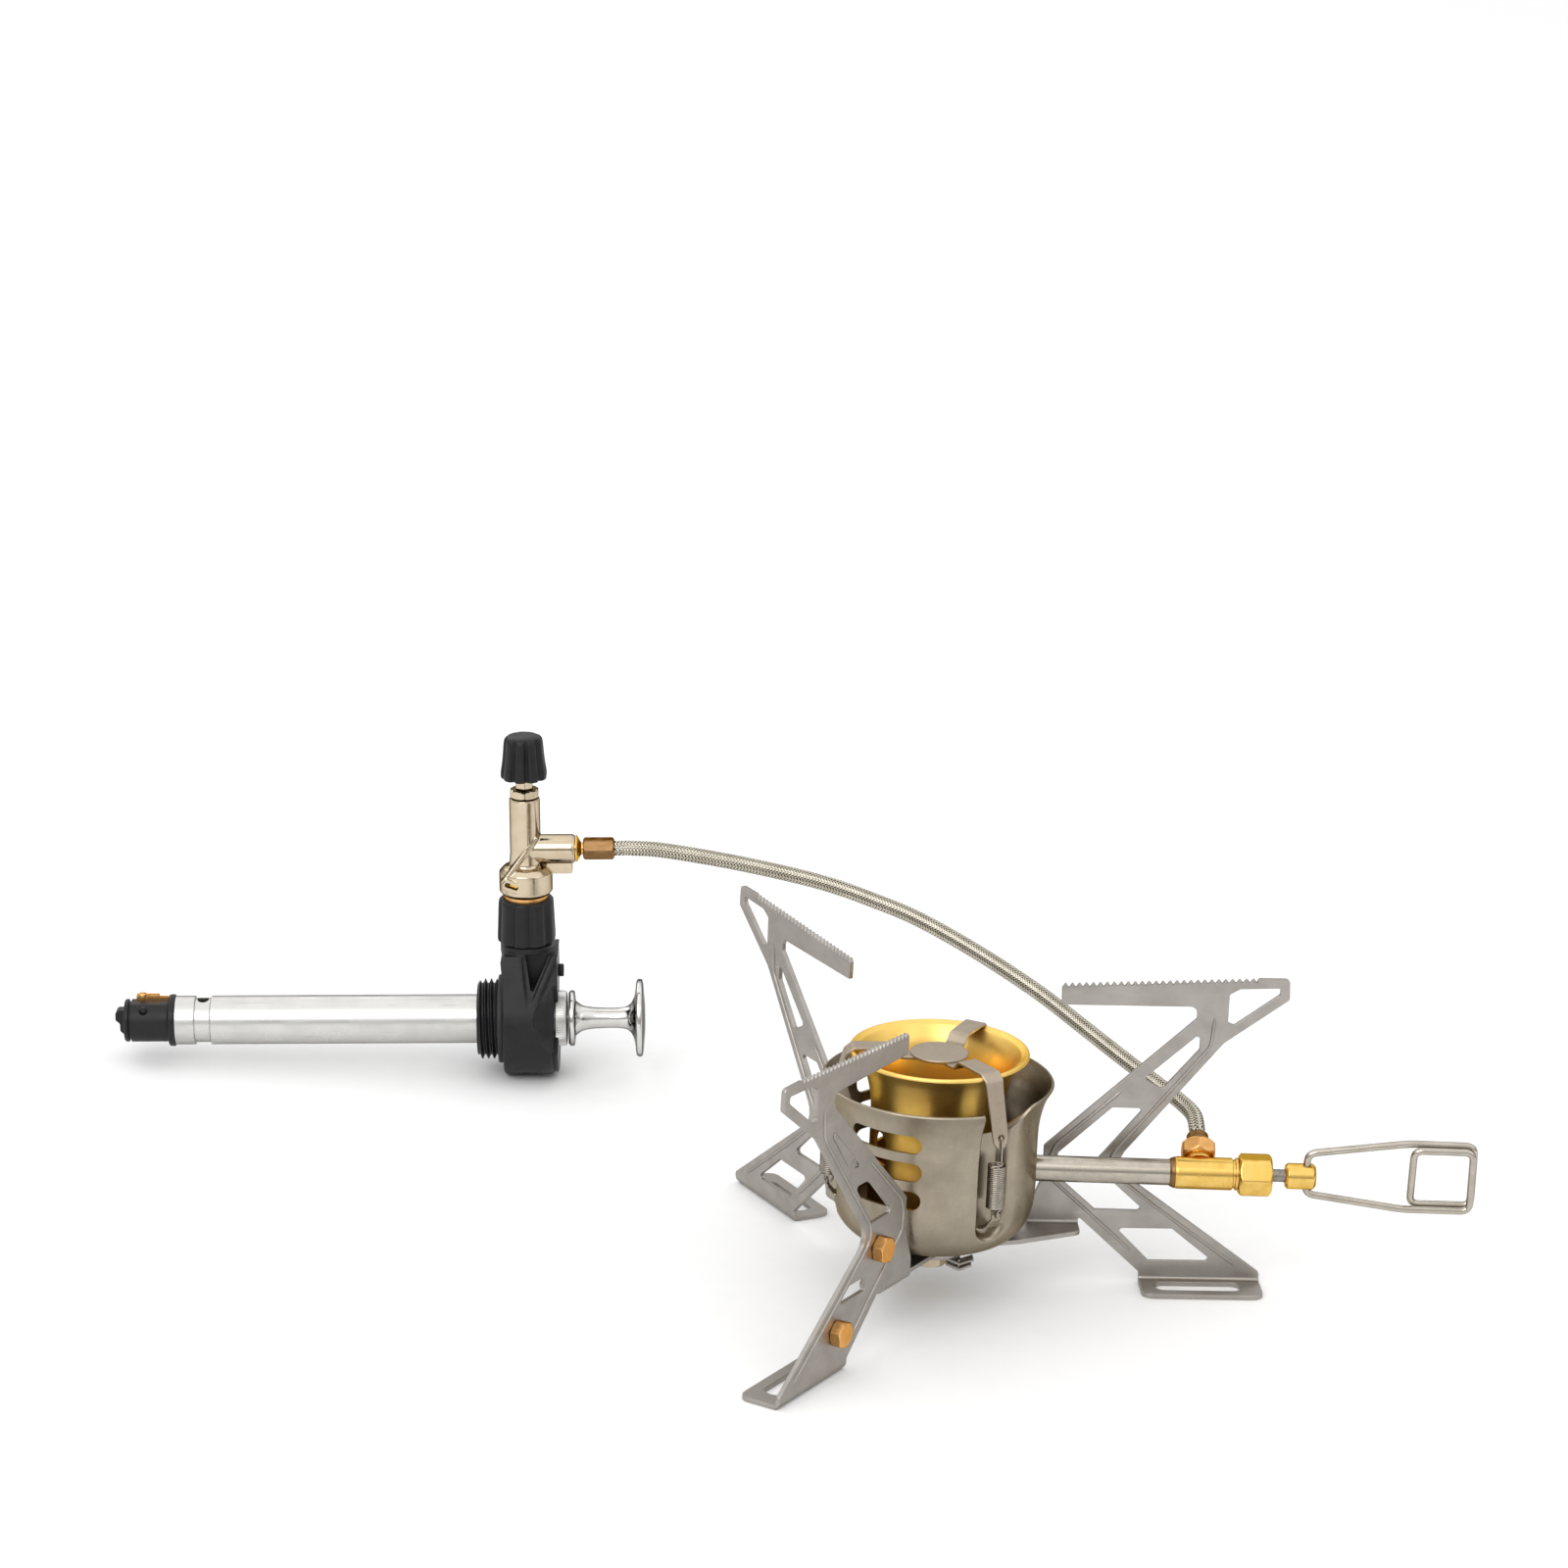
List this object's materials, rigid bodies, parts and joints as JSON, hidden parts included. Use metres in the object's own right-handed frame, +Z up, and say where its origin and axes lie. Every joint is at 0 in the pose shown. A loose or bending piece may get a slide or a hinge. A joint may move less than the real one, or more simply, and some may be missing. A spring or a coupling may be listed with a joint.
{
  "type": "multi-fuel camping stove",
  "caption": "Folding camping burner on sheet legs with toothed pot rests and a wire-handled regulator, joined by a braided hose to a plunger pump with a fuel valve.",
  "frame": {"origin": "on the ground, at the middle of the footprint of stove and pump", "axes": "+Z up; +X along the feed tube towards its handle and along the pump towards its plunger; +Y towards the pump"},
  "size_m": [0.3847, 0.2613, 0.1053],
  "materials": {
    "stainless sheet": "satin",
    "cup steel": "brushed",
    "bell brass": "satin",
    "brass": "turned",
    "spreader steel": "satin",
    "spring steel": "drawn wire",
    "tube steel": "polished",
    "bronze": "satin",
    "hose braid": "braided wire",
    "nickel": "polished nickel",
    "black plastic": "satin",
    "aluminium": "turned",
    "rubber": "matt",
    "felt": "woven",
    "leather": "oiled"
  },
  "bodies": {
    "stove_and_pump": {"burner_cup": "cup steel", "cup_wall_right": "cup steel", "cup_wall_back": "cup steel", "cup_wall_front": "cup steel", "burner_bell": "bell brass", "flame_spreader": "spreader steel", "spreader_springs": "spring steel", "priming_pad": "felt", "jet_block": "brass", "burner_jet": "brass", "pivot_stud": "brass", "pivot_washer": "stainless sheet", "pivot_nut": "brass", "leg_fixed": "stainless sheet", "feed_tube": "tube steel", "inlet_block": "brass", "gland_nut": "brass", "gland_packing": "rubber", "hose_nut": "bronze", "hose_ferrule_stove": "bronze", "fuel_hose": "hose braid", "hose_ferrule_pump": "bronze", "hose_adapter": "brass", "valve_block": "nickel", "valve_gland_nut": "nickel", "port_stub": "brass", "port_seal": "rubber", "pump_body": "black plastic", "bottle_seal": "rubber", "vent_screw": "black plastic", "pump_barrel": "aluminium", "barrel_end": "black plastic", "check_disc": "rubber", "fuel_pickup": "brass", "pump_collar": "aluminium"},
    "front_leg": {"leg_front": "stainless sheet", "spare_jets": "brass"},
    "back_leg": {"leg_back": "stainless sheet"},
    "regulator": {"regulator_spindle": "spring steel", "spindle_knob": "brass"},
    "handle": {"wire_handle": "tube steel"},
    "plunger": {"plunger_rod": "tube steel", "plunger_grip": "aluminium", "piston": "brass", "piston_cup": "leather"},
    "fuel_knob": {"valve_spindle": "tube steel", "control_knob": "black plastic"},
    "coupling": {"coupling_nut": "black plastic"}
  },
  "joints": [
    {"name": "front_leg_swing", "type": "hinge", "parent": "stove_and_pump", "child": "front_leg", "pos_m": [0.0465, -0.046, 0.015], "axis": [0, 0, 1], "range_deg": [0, 90]},
    {"name": "back_leg_swing", "type": "hinge", "parent": "stove_and_pump", "child": "back_leg", "pos_m": [0.0465, -0.046, 0.014], "axis": [0, 0, 1], "range_deg": [-100, 0]},
    {"name": "regulator_turn", "type": "hinge", "parent": "stove_and_pump", "child": "regulator", "pos_m": [0.1408, -0.046, 0.0366], "axis": [1, 0, 0], "range_deg": [0, 540]},
    {"name": "handle_fold", "type": "hinge", "parent": "regulator", "child": "handle", "pos_m": [0.1465, -0.046, 0.0366], "axis": [0, 0, 1], "range_deg": [-100, 100]},
    {"name": "plunger_slide", "type": "slide", "parent": "stove_and_pump", "child": "plunger", "axis": [0.9992, 0, 0.0401], "range_m": [0, 0.085]},
    {"name": "fuel_knob_turn", "type": "hinge", "parent": "stove_and_pump", "child": "fuel_knob", "pos_m": [-0.07108, 0.114, 0.08612], "axis": [-0.0401, 0, 0.9992], "range_deg": [0, 720]},
    {"name": "coupling_turn", "type": "hinge", "parent": "stove_and_pump", "child": "coupling", "pos_m": [-0.06929, 0.114, 0.04146], "axis": [-0.0401, 0, 0.9992], "range_deg": [0, 1080]}
  ]
}
